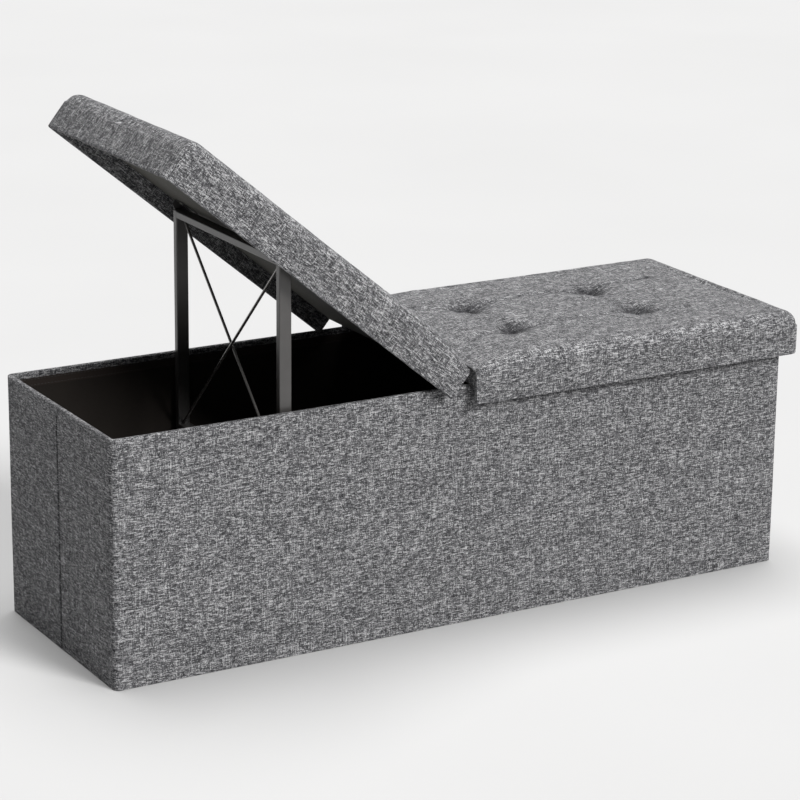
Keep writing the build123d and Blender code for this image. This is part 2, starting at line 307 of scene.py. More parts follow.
def dress(piece: bpy.types.Object, material: bpy.types.Material) -> None:
    """Puts one material on the whole piece."""
    piece.data.materials.clear()
    piece.data.materials.append(material)


# ---- materials ----------------------------------------------------------------------------
def math_method(operation: str, backwards: bool = False) -> Callable[..., "Value"]:
    """A method of Value that adds one kind of Math node.

    Args:
        operation: what the node does.
        backwards: whether the value itself comes last.

    Returns:
        The method.
    """

    def method(value: "Value", *others: object) -> "Value":
        """The operation on the value and any others."""
        inputs = dict(enumerate((*others, value) if backwards else (value, *others)))
        node = value.recipe.node("ShaderNodeMath", {"operation": operation}, inputs)
        return Value(value.recipe, node.outputs[0])

    return method


class Value:
    """A number that varies over a surface. Arithmetic on it adds Math nodes."""

    def __init__(self, recipe: "Recipe", socket: bpy.types.NodeSocket) -> None:
        """Wraps a socket of a recipe's node tree."""
        self.recipe = recipe
        self.socket = socket

    __add__ = __radd__ = math_method("ADD")
    __mul__ = __rmul__ = math_method("MULTIPLY")
    __sub__ = math_method("SUBTRACT")
    __rsub__ = math_method("SUBTRACT", backwards=True)
    __truediv__ = math_method("DIVIDE")
    __mod__ = math_method("FLOORED_MODULO")
    floor = math_method("FLOOR")
    wave = math_method("SINE")
    size = math_method("ABSOLUTE")
    at_least = math_method("MAXIMUM")
    at_most = math_method("MINIMUM")

    def clamped(self) -> "Value":
        """Held between 0 and 1."""
        return self.at_least(0.0).at_most(1.0)


class Recipe:
    """The node tree of one material."""

    def __init__(self, name: str) -> None:
        """Starts an empty material with its output."""
        self.material = bpy.data.materials.new(name)
        self.material.use_nodes = True
        self.tree = self.material.node_tree
        self.tree.nodes.clear()
        self.shader = self.tree.nodes.new("ShaderNodeBsdfPrincipled")
        output = self.tree.nodes.new("ShaderNodeOutputMaterial")
        self.tree.links.new(self.shader.outputs[0], output.inputs["Surface"])

    def node(self, kind: str, settings: dict, inputs: dict) -> bpy.types.Node:
        """Adds a node.

        Args:
            kind: the node's type.
            settings: properties, set first; "stops" fills a colour ramp.
            inputs: a number, colour, Value or socket for each input, by name or index.

        Returns:
            The node.
        """
        node = self.tree.nodes.new(kind)
        for key, value in settings.items():
            if key == "stops":
                self._fill_ramp(node.color_ramp, value)
            else:
                setattr(node, key, value)
        for key, value in inputs.items():
            self.feed(node.inputs[key], value)
        return node

    @staticmethod
    def _fill_ramp(ramp: bpy.types.ColorRamp, stops: Sequence[tuple]) -> None:
        """Sets a ramp's stops, each a place and a colour."""
        while len(ramp.elements) < len(stops):
            ramp.elements.new(0.5)
        for element, (place, colour) in zip(ramp.elements, stops):
            element.position = place
            element.color = (*colour, 1.0)

    def feed(self, socket: bpy.types.NodeSocket, value: object) -> None:
        """Links or sets one input."""
        if isinstance(value, Value):
            value = value.socket
        if isinstance(value, bpy.types.NodeSocket):
            self.tree.links.new(value, socket)
        elif hasattr(value, "__len__") and len(value) == 3 and socket.type == "RGBA":
            socket.default_value = (*value, 1.0)
        else:
            socket.default_value = value

    def split(self, vector: bpy.types.NodeSocket) -> tuple[Value, Value, Value]:
        """The three parts of a vector."""
        node = self.node("ShaderNodeSeparateXYZ", {}, {0: vector})
        return tuple(Value(self, output) for output in node.outputs)

    def join(self, x: object, y: object, z: object) -> bpy.types.NodeSocket:
        """A vector from three parts."""
        return self.node("ShaderNodeCombineXYZ", {}, {0: x, 1: y, 2: z}).outputs[0]

    def cloth_place(self) -> bpy.types.NodeSocket:
        """Where a point is on the cloth, in metres."""
        return self.node("ShaderNodeUVMap", {"uv_map": WEAVE_MAP}, {}).outputs[0]

    def painted(self, name: str) -> Value:
        """A value laid on the piece's points, 0 where a piece has none."""
        reader = self.node("ShaderNodeAttribute", {"attribute_name": name}, {})
        return Value(self, reader.outputs["Fac"])

    def place(self) -> bpy.types.NodeSocket:
        """Where a point is on the piece, in metres."""
        return self.node("ShaderNodeTexCoord", {}, {}).outputs["Object"]

    def noise(self, at: object, scale: float, detail: float = 2.0, rough: float = 0.5) -> Value:
        """Smooth noise from 0 to 1."""
        node = self.node(
            "ShaderNodeTexNoise",
            {},
            {"Vector": at, "Scale": scale, "Detail": detail, "Roughness": rough},
        )
        return Value(self, node.outputs["Fac"])

    def mix(self, share: object, first: object, second: object) -> bpy.types.NodeSocket:
        """A colour between two."""
        inputs = {0: share, 6: first, 7: second}
        return self.node("ShaderNodeMix", {"data_type": "RGBA"}, inputs).outputs[2]

    def ramp(self, share: object, stops: Sequence[tuple]) -> bpy.types.NodeSocket:
        """A colour read from a ramp."""
        return self.node("ShaderNodeValToRGB", {"stops": stops}, {0: share}).outputs[0]

    def relief(self, height: object, distance: float, strength: float) -> None:
        """Bumps the surface by a height."""
        bump = self.node(
            "ShaderNodeBump", {}, {"Strength": strength, "Distance": distance, "Height": height}
        )
        self.feed(self.shader.inputs["Normal"], bump.outputs[0])

    def set(self, **inputs: object) -> None:
        """Feeds the shader, with underscores for the spaces in its sockets' names."""
        for key, value in inputs.items():
            self.feed(self.shader.inputs[key.replace("_", " ")], value)


@dataclass(frozen=True)
class Finish:
    """What every material has in common: a name, and a surface made by its own kind."""

    name: str

    def coat(self, recipe: Recipe) -> None:
        """Makes the surface."""
        raise NotImplementedError

    def material(self) -> bpy.types.Material:
        """Builds the material."""
        recipe = Recipe(self.name)
        self.coat(recipe)
        return recipe.material


@dataclass(frozen=True)
class LinenLook(Finish):
    """Plain-woven melange cloth: uneven light and dark yarns both ways, with pale slubs."""

    name: str = "linen_look_cloth"
    yarn: float = 0.95 * MM          # from one yarn to the next
    streak: float = 9.0 * MM         # length of a light or dark stretch of weft
    cross_streak: float = 6.5 * MM   # the same, of warp
    slub: float = 24.0 * MM          # length of a thick pale stretch
    cloudy: float = 30.0 * MM        # size of the faint broad patches
    weft_share: float = 1.75
    warp_share: float = 0.9
    knot_share: float = 1.35         # one crossing of yarns against the next
    slub_share: float = 0.24
    cloudy_share: float = 0.14
    contrast: float = 0.98
    ground: float = 0.42             # the tone that everything is added to
    painted_shade_share: float = 0.42      # how much darker the painted shade makes the cloth where it is drawn in
    dark: tuple = (0.013, 0.013, 0.015)
    middle: tuple = (0.094, 0.094, 0.099)
    middle_at: float = 0.47
    light: tuple = (0.44, 0.44, 0.445)
    relief: float = 0.22 * MM
    sheen: float = 0.05

    @staticmethod
    def peak(value: Value) -> Value:
        """Only the highest stretches of a noise, from 0 to 1."""
        return ((value - 0.62) * 9.0).clamped()

    def coat(self, recipe: Recipe) -> None:
        """Makes the surface."""
        at = recipe.cloth_place()
        drift = recipe.noise(at, 1 / (60 * MM), 1.0)
        along, across, _ = recipe.split(at)
        across = across + drift * (0.8 * MM)
        along = along + recipe.noise(at, 1 / (75 * MM), 1.0) * (0.7 * MM)
        row = (across / self.yarn).floor()
        column = (along / self.yarn).floor()
        weft = recipe.noise(recipe.join(along / self.streak, row * 7.31, 3.0), 1.0, 1.0)
        warp = recipe.noise(recipe.join(column * 5.77, across / self.cross_streak, 11.0), 1.0, 1.0)
        knot = recipe.noise(recipe.join(column * 9.13, row * 6.37, 21.0), 1.0, 0.0)
        weft_slub = recipe.noise(recipe.join(along / self.slub, row * 3.17, 5.0), 1.0, 0.0)
        warp_slub = recipe.noise(recipe.join(column * 2.63, across / self.slub, 8.0), 1.0, 0.0)
        shade = recipe.noise(at, 1 / self.cloudy, 2.0)
        tone = (weft - 0.5) * self.weft_share + (warp - 0.5) * self.warp_share
        tone = tone + (knot - 0.5) * self.knot_share
        slubs = self.peak(weft_slub) * self.slub_share + self.peak(warp_slub) * self.slub_share
        tone = tone * self.contrast + self.ground + slubs + (shade - 0.5) * self.cloudy_share
        # Shade painted into the colour where the cloth is drawn in: the crease down each end wall,
        # round the tufts and along the valleys.
        tone = tone - recipe.painted(PAINTED_SHADE) * self.painted_shade_share
        stops = [(0.0, self.dark), (self.middle_at, self.middle), (1.0, self.light)]
        over = (row + column) % 2.0
        ridge_across = ((across / self.yarn) * math.pi).wave().size()
        ridge_along = ((along / self.yarn) * math.pi).wave().size()
        height = over * ridge_across + (1.0 - over) * ridge_along + tone * 0.8
        recipe.relief(height, self.relief, 0.7)
        recipe.set(
            Base_Color=recipe.ramp(tone, stops),
            Roughness=weft * 0.15 + 0.78,
            Sheen_Weight=self.sheen,
            Sheen_Roughness=0.45,
            Specular_IOR_Level=0.25,
        )


@dataclass(frozen=True)
class FeltedCloth(Finish):
    """Non-woven lining: matted fibre with dimples embossed into it."""

    colour: tuple
    pale: tuple
    pitch: float = 3.0 * MM

    def coat(self, recipe: Recipe) -> None:
        """Makes the surface."""
        at = recipe.place()
        fibres = recipe.noise(at, 1 / (1.1 * MM), 3.0, 0.7)
        clouds = recipe.noise(at, 1 / (45 * MM), 2.0)
        x, y, z = recipe.split(at)
        turn = 2 * math.pi / self.pitch
        dimple = ((x + y) * turn).wave() * (z * turn).wave()
        share = fibres * 0.6 + clouds * 0.4
        recipe.relief(fibres + dimple * 0.35, 0.25 * MM, 0.6)
        recipe.set(
            Base_Color=recipe.mix(share, self.colour, self.pale),
            Roughness=0.8 + fibres * 0.15,
            Sheen_Weight=0.08,
            Specular_IOR_Level=0.2,
        )


@dataclass(frozen=True)
class PaintedSteel(Finish):
    """Steel tube with a satin powder coat, worn a little in patches."""

    colour: tuple = (0.040, 0.038, 0.037)
    worn: tuple = (0.065, 0.062, 0.060)
    roughness: float = 0.34
    metallic: float = 0.25

    def coat(self, recipe: Recipe) -> None:
        """Makes the surface."""
        at = recipe.place()
        peel = recipe.noise(at, 1 / (1.4 * MM), 2.0)
        patch = recipe.noise(at, 1 / (30 * MM), 3.0)
        recipe.relief(peel, 0.05 * MM, 0.5)
        recipe.set(
            Base_Color=recipe.mix(patch, self.colour, self.worn),
            Metallic=self.metallic,
            Roughness=patch * 0.16 + self.roughness - 0.08,
            Coat_Weight=0.25,
            Coat_Roughness=0.25,
        )


@dataclass(frozen=True)
class PlatedSteel(Finish):
    """Bright zinc plate with a faint yellow and dull patches."""

    name: str = "zinc_plate"

    def coat(self, recipe: Recipe) -> None:
        """Makes the surface."""
        at = recipe.place()
        dull = recipe.noise(at, 1 / (2.5 * MM), 3.0)
        recipe.relief(dull, 0.03 * MM, 0.4)
        recipe.set(
            Base_Color=recipe.mix(dull, (0.50, 0.50, 0.49), (0.66, 0.65, 0.60)),
            Metallic=1.0,
            Roughness=dull * 0.25 + 0.22,
        )


@dataclass(frozen=True)
class Fibreboard(Finish):
    """Pressed wood fibre, brown with darker flecks."""

    pale: tuple = (0.36, 0.24, 0.14)
    dark: tuple = (0.20, 0.12, 0.065)

    def coat(self, recipe: Recipe) -> None:
        """Makes the surface."""
        at = recipe.place()
        flecks = recipe.noise(at, 1 / (1.6 * MM), 4.0, 0.65)
        broad = recipe.noise(at, 1 / (40 * MM), 2.0)
        recipe.relief(flecks, 0.12 * MM, 0.5)
        recipe.set(
            Base_Color=recipe.mix(flecks * 0.7 + broad * 0.3, self.dark, self.pale),
            Roughness=flecks * 0.1 + 0.72,
        )


@dataclass(frozen=True)
class SpunThread(Finish):
    """Two-ply sewing thread."""

    colour: tuple
    pale: tuple

    def coat(self, recipe: Recipe) -> None:
        """Makes the surface."""
        at = recipe.place()
        x, y, z = recipe.split(at)
        twist = ((x + y + z) * (2 * math.pi / (0.9 * MM))).wave() * 0.5 + 0.5
        fibre = recipe.noise(at, 1 / (0.5 * MM), 2.0)
        recipe.relief(twist + fibre * 0.4, 0.1 * MM, 0.6)
        recipe.set(
            Base_Color=recipe.mix(twist * 0.7 + fibre * 0.3, self.colour, self.pale),
            Roughness=0.62 + fibre * 0.1,
            Sheen_Weight=0.15,
        )


@dataclass(frozen=True)
class MouldedPlastic(Finish):
    """Black moulded plastic with a fine grain."""

    name: str = "moulded_black"

    def coat(self, recipe: Recipe) -> None:
        """Makes the surface."""
        at = recipe.place()
        grain = recipe.noise(at, 1 / (0.8 * MM), 2.0)
        scuff = recipe.noise(at, 1 / (9 * MM), 3.0)
        recipe.relief(grain, 0.06 * MM, 0.5)
        recipe.set(
            Base_Color=recipe.mix(scuff, (0.012, 0.012, 0.013), (0.035, 0.034, 0.034)),
            Roughness=scuff * 0.2 + 0.42,
        )


@dataclass(frozen=True)
class StudioFloor(Finish):
    """Pale seamless floor, with the faintest mottling."""

    name: str = "studio_floor"
    pale: tuple = (0.46, 0.46, 0.46)
    paler: tuple = (0.49, 0.49, 0.49)

    def coat(self, recipe: Recipe) -> None:
        """Makes the surface."""
        cloudy = recipe.noise(recipe.place(), 1.5, 2.0)
        recipe.set(Base_Color=recipe.mix(cloudy, self.pale, self.paler), Roughness=0.85)


class Wardrobe:
    """Every material of the object, under the name of the record's slot that it finishes."""

    def __init__(self) -> None:
        """Builds the materials."""
        cloth = LinenLook().material()
        brown_black = ((0.009, 0.0075, 0.006), (0.024, 0.019, 0.016))
        lining = FeltedCloth("black_lining", *brown_black).material()
        self.slots: dict[str, bpy.types.Material] = {
            "upholstery": cloth,
            "seat_cloth": cloth,
            "lining": lining,
            "lining_board": lining,
            "binding": FeltedCloth(
                "brown_binding", (0.016, 0.012, 0.010), (0.034, 0.026, 0.022), 1.4 * MM
            ).material(),
            "base_cloth": FeltedCloth("base_cloth", (0.012,) * 3, (0.03,) * 3).material(),
            "fibreboard": Fibreboard("wall_fibreboard").material(),
            "seat_fibreboard": Fibreboard("seat_fibreboard", (0.40, 0.28, 0.17)).material(),
            "thread": SpunThread("tuft_thread", (0.05,) * 3, (0.16,) * 3).material(),
            "frame_steel": PaintedSteel("frame_paint", metallic=0.1).material(),
            "bracket_steel": PaintedSteel("bracket_paint", roughness=0.42).material(),
            "zinc_steel": PlatedSteel().material(),
            "foot_plastic": MouldedPlastic().material(),
        }
        self.underside = FeltedCloth(
            "underside_lining", (0.030, 0.029, 0.024), (0.075, 0.072, 0.060)
        ).material()
        # The crossed rods get a paler, more metallic copy of the frame's paint; the paler colour is
        # partly painted highlight, standing in for the glints along the rods.
        self.rod_paint_painted_glint = PaintedSteel(
            "rod_paint_painted_glint", (0.17, 0.165, 0.16), (0.26, 0.25, 0.24), 0.26, 0.85
        ).material()
        self.dark_thread = SpunThread("dark_thread", (0.008,) * 3, (0.03,) * 3).material()
        self.grey_thread = SpunThread("grey_thread", (0.06,) * 3, (0.14,) * 3).material()

    def dress_nodes(self) -> None:
        """Gives every carried-over node the finish of its slot."""
        for name, node in frame["nodes"].items():
            for place in node.material_slots:
                slot = place.material.name.split(".")[0]
                place.material = self.rod_paint_painted_glint if "_rod_" in name else self.slots[slot]


def settle(piece: bpy.types.Object, body: str, nodes: Sequence[str] = ()) -> None:
    """Says which body a finished piece rides on and the nodes it stands for."""
    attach(piece, body)
    if nodes:
        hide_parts(*nodes)
    LOG.info("%s rides on %s, %d points", piece.name, body, len(piece.data.vertices))


# ---- the box ------------------------------------------------------------------------------
@dataclass
class StorageBox:
    """The open box: its sleeve of cloth, its lining and the tape that edges the lining."""

    wardrobe: Wardrobe
    cloth: float = 1.1 * MM
    corner: float = 8.0 * MM
    rim_roll: float = 2.6 * MM
    crease_depth: float = 1.7 * MM
    crease_width: float = 1.1 * MM
    slack: float = 0.45 * MM             # how far the walls' cloth bellies out
    rim_hump: float = 0.15 * MM          # rise of the rim where the crease meets it
    rim_waver: float = 0.2 * MM          # unevenness of the rim
    low: Vector = field(init=False)
    high: Vector = field(init=False)
    wall: float = field(init=False)
    tape_low: Vector = field(init=False)
    tape_high: Vector = field(init=False)
    lining_low: float = field(init=False)

    def __post_init__(self) -> None:
        """Reads the box's size from its nodes."""
        self.low, self.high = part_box("body_cover")
        lining_low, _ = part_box("body_lining")
        self.wall = lining_low.x - self.low.x + 1.2 * MM
        self.tape_low, self.tape_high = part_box("lining_binding")
        self.lining_low = lining_low.z

    def build(self) -> None:
        """Makes every piece of the box."""
        self.sleeve()
        self.tube_of_cloth(
            "box_lining", "lining", "body_lining", self.lining_low, self.tape_low.z, 1.1 * MM, 0.0
        )
        self.tube_of_cloth(
            "lining_tape", "binding", "lining_binding", self.tape_low.z - 1.0 * MM,
            self.tape_high.z + 0.5 * MM, 1.3 * MM, 0.35 * MM,
        )
        self.tape_stitches()

    def sleeve(self) -> None:
        """One sleeve of cloth: up the outside, over the rim and a little way down the inside."""
        piece = block("body_sleeve", self.low, self.high)
        top = self.high.z
        with Bench(piece) as bench:
            bench.pick(Element.EDGE, lambda e: span(e, 2) > 0.1)
            bench.bevel(self.corner, 6)
            bench.pick(Element.FACE, lambda f: f.normal.z < -0.9)
            bpy.ops.mesh.delete(type="FACE")
            bench.pick(Element.FACE, lambda f: f.normal.z > 0.9)
            bpy.ops.mesh.inset(thickness=self.wall)
            bench.extrude((0, 0, self.tape_high.z - top))
            bpy.ops.mesh.delete(type="FACE")
            bench.pick(
                Element.EDGE, lambda e: all(abs(v.co.z - top) < 1e-5 for v in e.verts)
                and len(e.link_faces) == 2
                and abs(e.link_faces[0].normal.z - e.link_faces[1].normal.z) > 0.5,
            )
            bench.bevel(self.rim_roll, 4)
            half = (self.high.x - self.low.x) / 2 - self.corner
            bench.grid(0, np.linspace(-half, half, 43))
            half = (self.high.y - self.low.y) / 2 - self.corner
            bench.grid(1, [y for y in np.linspace(-half, half, 15) if abs(y) > 8 * MM])
            bench.grid(1, [side * y * MM for side in (-1, 1) for y in (0.8, 2.0, 6.0)] + [0.0])
            bench.grid(2, np.linspace(2.0 * MM, top - 12 * MM, 16))
            bench.grid(2, [top - 9 * MM, top - 6 * MM, self.low.z + 1.5 * MM])
        places, normals = points_of(piece), points_of(piece, "normal")
        on_end = np.abs(normals[:, 0]) > 0.7
        outside = np.abs(places[:, 0]) > self.high.x - 1 * MM
        below = 1.0 - ramp_up(places[:, 2], top - 16 * MM, top - 9 * MM)
        groove = bell(places[:, 1], self.crease_width)
        lip = bell(places[:, 1], 5.0 * MM)
        sink = (self.crease_depth * groove - 0.5 * MM * lip) * below * (on_end & outside)
        slack = self.slack * (cloud(places, 0.16, 4.0) + 0.5 * cloud(places, 0.05, 9.0))
        slack *= ramp_up(top - places[:, 2], 3 * MM, 40 * MM)
        hump = self.rim_hump * bell(places[:, 1], 9 * MM)
        hump *= ramp_up(places[:, 2], top - 12 * MM, top) * (np.abs(places[:, 0]) > 0.5)
        waver = self.rim_waver * cloud(places, 0.09, 2.0) * ramp_up(places[:, 2], top - 6 * MM, top)
        places += normals * (np.maximum(slack, -0.1 * MM) - sink)[:, None]
        places[:, 2] += hump + waver
        set_points(piece, places)
        thicken(piece, self.cloth, -1.0)
        smooth(piece, 50.0)
        lay_weave(piece, Wrap.AROUND)
        # Shade painted into the colour along the crease down each end wall, stopping short of the
        # rim.
        places = points_of(piece)
        on_end = np.abs(places[:, 0]) > self.high.x - 5 * MM
        below = 1.0 - ramp_up(places[:, 2], top - 14 * MM, top - 9 * MM)
        lay_painted_shade(piece, 1.6 * bell(places[:, 1], 1.5 * MM) * below * on_end)
        dress(piece, self.wardrobe.slots["upholstery"])
        settle(piece, "box", ["body_cover"])

    def tube_of_cloth(
        self, name: str, slot: str, node: str, bottom: float, top: float, cloth: float, proud: float
    ) -> None:
        """A ring of cloth against the inside of the four walls.

        Args:
            name: the piece's name.
            slot: its finish.
            node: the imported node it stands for.
            bottom: its lower edge.
            top: its upper edge.
            cloth: its thickness.
            proud: how far it stands in from the turned-down cloth.
        """
        inset = Vector((self.wall + proud, self.wall + proud, 0))
        low, high = self.low + inset, self.high - inset
        piece = block(name, (low.x, low.y, bottom), (high.x, high.y, top))
        with Bench(piece) as bench:
            bench.pick(Element.FACE, lambda f: abs(f.normal.z) > 0.9)
            bpy.ops.mesh.delete(type="FACE")
            bench.pick(Element.EDGE, lambda e: span(e, 2) > 1 * MM)
            bench.bevel(3 * MM, 4)
            bench.grid(0, np.linspace(low.x + 8 * MM, high.x - 8 * MM, 55))
            bench.grid(1, np.linspace(low.y + 8 * MM, high.y - 8 * MM, 21))
            tall = top - bottom
            bench.grid(2, np.linspace(bottom + 1 * MM, top - 1 * MM, max(3, int(tall / 0.016))))
        places, normals = points_of(piece), points_of(piece, "normal")
        slack = 0.4 * MM * (cloud(places, 0.12, 6.0) + cloud(places, 0.03, 1.0)) * (proud == 0)
        slack += 0.25 * MM * cloud(places, 0.04, 3.0) * (proud > 0)
        places -= normals * np.maximum(slack, 0.0)[:, None]
        set_points(piece, places)
        thicken(piece, cloth, 1.0)
        smooth(piece, 50.0)
        lay_weave(piece, Wrap.AROUND)
        dress(piece, self.wardrobe.slots[slot])
        settle(piece, "box", [node])

    def tape_stitches(self) -> None:
        """A row of stitches along both edges of the tape, modelled once for each wall."""
        inner = self.wall + 0.35 * MM
        half_x = self.high.x - inner
        half_y = self.high.y - inner
        rows = (self.tape_low.z + 1.4 * MM, self.tape_high.z - 1.4 * MM)
        walls = []
        for height in rows:
            for side in (-1, 1):
                walls.append((Vector((-half_x + 6 * MM, side * half_y, height)), Vector((1, 0, 0))))
                walls.append((Vector((side * half_x, -half_y + 6 * MM, height)), Vector((0, 1, 0))))
        rows_of_thread = []
        for start, along in walls:
            reach = 2 * abs(start.dot(along))
            rows_of_thread.append(stitch_row("tape_stitches", start, along, reach, 5.0 * MM))
        piece = join("tape_stitches", rows_of_thread)
        dress(piece, self.wardrobe.dark_thread)
        settle(piece, "box")


def stitch_row(
    name: str, start: Vector, along: Vector, reach: float, pitch: float
) -> bpy.types.Object:
    """A straight row of stitches: one is modelled, and an array repeats it.

    Args:
        name: the row's name.
        start: where the first stitch begins.
        along: the row's direction.
        reach: the row's length.
        pitch: from one stitch to the next.

    Returns:
        The row as one object.
    """
    length, radius = 0.62 * pitch, 0.32 * MM
    stitch = block(name, (0, -radius, -radius), (length, radius, radius))
    with Bench(stitch) as bench:
        bench.grid(0, [length * 0.22, length * 0.5, length * 0.78])
        bench.pick(Element.POINT, lambda v: v.co.x < 1e-6 or v.co.x > length - 1e-6)
        bench.move_picked(lambda co: Vector((co.x, co.y * 0.45, co.z * 0.45)))
        bench.pick(Element.EDGE, lambda e: span(e, 0) > 1e-6)
        bench.bevel(radius * 0.55, 1)
    apply_modifier(
        stitch, "ARRAY", count=max(1, int(reach / pitch)), use_relative_offset=False,
        use_constant_offset=True, constant_offset_displace=(pitch, 0, 0),
    )
    up = Vector((0, 0, 1))
    across = along.cross(up).normalized()
    turn = Matrix((along.normalized(), across, up)).transposed().to_4x4()
    stitch.matrix_world = Matrix.Translation(start) @ turn
    activate(stitch)
    bpy.ops.object.transform_apply(location=True, rotation=True, scale=True)
    smooth(stitch, 60.0)
    return stitch


def join(name: str, pieces: Sequence[bpy.types.Object]) -> bpy.types.Object:
    """Joins pieces into the first, under one name."""
    bpy.ops.object.select_all(action="DESELECT")
    for piece in pieces:
        piece.select_set(True)
    bpy.context.view_layer.objects.active = pieces[0]
    bpy.ops.object.join()
    piece = bpy.context.object
    piece.name = name
    piece.data.name = name
    return piece


# ---- the lid ------------------------------------------------------------------------------
@dataclass
class PadShape:
    """The sewn and stuffed top of one half of the lid, in that half's own frame.

    The frame's origin is on the fold; x runs away from it, y across and z up, square to the lid.
    """

    length: float = 549.6 * MM
    half_width: float = 189.6 * MM
    near: float = 2.4 * MM
    board_top: float = -15.0 * MM
    start_height: float = 3.5 * MM       # top before it is blown up
    crown: float = 13.0 * MM             # no point of the pad rises above this
    voxel: float = 5.0 * MM
    corner: float = 13.0 * MM
    edge: float = 13.0 * MM
    tufts_out: tuple = (140.0 * MM, 350.0 * MM)
    tufts_side: float = 62.0 * MM
    tuft_bottom: float = -0.6 * MM
    tuft_core: float = 23.0 * MM         # radius of a dimple's steep part
    tuft_reach: float = 55.0 * MM        # radius of the broad hollow round it
    roll: float = 25.0 * MM              # how far the rolled edge reaches in
    roll_base: float = -10.0 * MM        # where it starts
    roll_fullness: float = 2.3           # 2 is a circle, more is squarer
    corner_fullness: float = 2.8
    slope: float = 0.165                 # rise of the top, out from the fold
    fan_height: float = 1.1 * MM         # folds that fan out round a tuft
    fan_radius: float = 20.0 * MM
    fan_width: float = 14.0 * MM
    valley_depth: float = 2.6 * MM       # valleys from tuft to tuft
    valley_width: float = 6.0 * MM
    ridge_height: float = 1.3 * MM       # the ridge beside each valley
    ridge_width: float = 9.0 * MM
    ridge_off: float = 13.0 * MM
    farthest: float = 14.0 * MM          # no point swells further than this
    swell_frames: int = 20
    clear_slope: float = 0.168           # tops below this slope clear each other, folded over
    clear_drop: float = 0.3 * MM
    skirt_thick: float = 6.2 * MM
    hem: float = -51.0 * MM
    underside: float = -24.6 * MM
    skirt_start: float = 4.0 * MM

    def tufts(self) -> list[tuple[float, float]]:
        """The four tufts."""
        return [(out, side * self.tufts_side) for out in self.tufts_out for side in (-1, 1)]

    def from_tufts(self, places: np.ndarray) -> list[np.ndarray]:
        """How far each point is from each of the tufts, seen from above."""
        return [np.hypot(places[:, 0] - out, places[:, 1] - side) for out, side in self.tufts()]

    def build(self) -> bpy.types.Object:
        """Makes the padded top and its skirts as one closed piece.

        Returns:
            The piece, still in the half's own frame.
        """
        pad = self.blank()
        before = points_of(pad)
        self.blow_up(pad)
        self.cap(pad, before)
        apply_modifier(pad, "SMOOTH", factor=0.35, iterations=2)
        apply_modifier(pad, "SUBSURF", levels=1, render_levels=1)
        self.square_up(pad)
        self.round_over(pad)
        self.pull_cloth(pad)
        self.add_skirts(pad)
        smooth(pad, 55.0)
        lay_weave(pad, Wrap.OVER)
        # Shade painted into the colour of the top: deepest in and round the tufts' dimples, fainter
        # along the valleys between them.
        places = points_of(pad)
        on_top = ramp_up(places[:, 2], -8 * MM, -3 * MM)
        creases = np.clip(-self.valleys(places) / (2.4 * MM), 0.0, 1.0)
        painted_shade = 1.3 * self.tuft_fall(places, 21 * MM) + 0.35 * creases
        lay_painted_shade(pad, painted_shade * on_top)
        return pad

    def rounded(self, places: np.ndarray) -> tuple[np.ndarray, np.ndarray]:
        """The height of a full, evenly rounded pad over each point.

        Args:
            places: the points.

        Returns:
            The heights, and how far each point is into the rolled edge, from 0 to 1.
        """
        along = np.clip(1.0 - (self.length - places[:, 0]) / self.roll, 0.0, 1.0)
        side = np.clip(1.0 - (self.half_width - np.abs(places[:, 1])) / self.roll, 0.0, 1.0)
        power = self.corner_fullness
        edge = np.clip((along**power + side**power) ** (1 / power), 0.0, 1.0)
        ramp = self.slope * np.maximum(places[:, 0], 0.0) - 1.2 * MM
        soft = 1.3 * MM
        level = self.crown - 1.0 * MM
        top = -soft * np.log(np.exp(-level / soft) + np.exp(-ramp / soft))
        fall = np.zeros(len(places))
        for away in self.from_tufts(places):
            core = 0.75 * np.exp(-((away / self.tuft_core) ** 2.2))
            fall = np.maximum(fall, core + 0.25 * bell(away, self.tuft_reach))
        top = top - (level - self.tuft_bottom) * fall
        top += 0.5 * MM * cloud(places, 0.16, 3.0) * (1.0 - edge)
        rise = (1.0 - edge**self.roll_fullness) ** (1 / self.roll_fullness)
        return self.roll_base + (top - self.roll_base) * rise, edge

    def round_over(self, pad: bpy.types.Object) -> None:
        """Brings the swollen cloth most of the way to a full, evenly rounded pad."""
        places = points_of(pad)
        target, edge = self.rounded(places)
        share = ramp_up(places[:, 2], self.roll_base - 0.5 * MM, self.roll_base + 2.5 * MM)
        share *= 0.62 + 0.38 * ramp_up(edge, 0.0, 0.3)
        places[:, 2] += share * (target - places[:, 2])
        set_points(pad, places)

    def blank(self) -> bpy.types.Object:
        """The foam block, rounded along its top and its outer corners, and remeshed finely."""
        pad = block(
            "lid_upholstery",
            (self.near, -self.half_width, self.board_top - 4 * MM),
            (self.length, self.half_width, self.start_height),
        )
        far, top = self.length, self.start_height
        with Bench(pad) as bench:
            bench.pick(Element.EDGE, lambda e: beyond(e, 0, far - 1e-5) and span(e, 2) > 1e-3)
            bench.bevel(self.corner, 5)
            bench.pick(
                Element.EDGE,
                lambda e: beyond(e, 2, top - 1e-5)
                and any(v.co.x > self.near + 1e-4 for v in e.verts),
            )
            bench.bevel(self.edge, 6)
        apply_modifier(pad, "REMESH", mode="VOXEL", voxel_size=self.voxel)
        places = points_of(pad)
        rise = ramp_up(places[:, 0], -6 * MM, 62 * MM)
        low_top = -0.5 * MM
        drop = (top - low_top) * (1.0 - rise)
        share = np.clip((places[:, 2] - self.board_top) / (top - self.board_top), 0.0, 1.0)
        places[:, 2] -= drop * share
        set_points(pad, places)
        return pad

    def tuft_fall(self, places: np.ndarray, reach: float) -> np.ndarray:
        """How strongly the nearest tuft holds each point, from 0 to 1."""
        hold = np.zeros(len(places))
        for away in self.from_tufts(places):
            hold = np.maximum(hold, bell(away, reach))
        return hold

